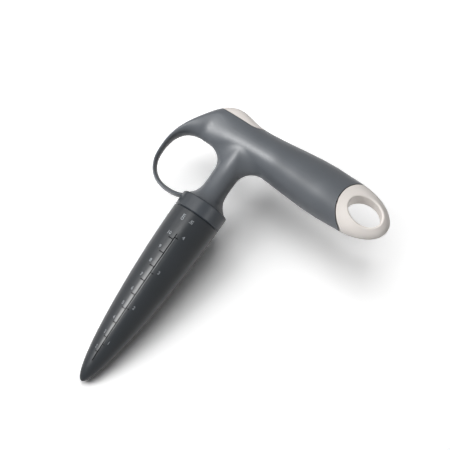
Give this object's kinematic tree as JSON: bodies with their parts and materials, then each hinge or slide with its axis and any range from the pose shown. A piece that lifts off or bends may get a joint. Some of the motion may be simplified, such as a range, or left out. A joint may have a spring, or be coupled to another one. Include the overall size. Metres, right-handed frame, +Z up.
{
  "type": "hand dibber",
  "caption": "Hand dibber with a hollow pointed spike, a T-shaped soft handle, a finger ring at the neck and an eye in the handle's end for hanging.",
  "frame": {"origin": "under the middle of the tool as it lies on its side: the centre of its box, at the level of the surface it lies on", "axes": "+Z up, square to the tool's plane of symmetry; +Y along the spike from its point to the handle; +X along the handle to the hanging eye"},
  "size_m": [0.1462, 0.1953, 0.0316],
  "materials": {
    "spike": "satin moulded slate-grey plastic",
    "core": "satin moulded slate-grey plastic",
    "grip": "matt soft-touch elastomer, slate grey",
    "pale_trim": "smooth warm light-grey plastic",
    "screw_steel": "zinc-plated steel"
  },
  "bodies": {
    "root": {"spike": "spike", "handle_core": "core", "grip": "grip", "thumb_pad": "pale_trim", "end_cap": "pale_trim", "spike_screw": "screw_steel"}
  },
  "joints": []
}
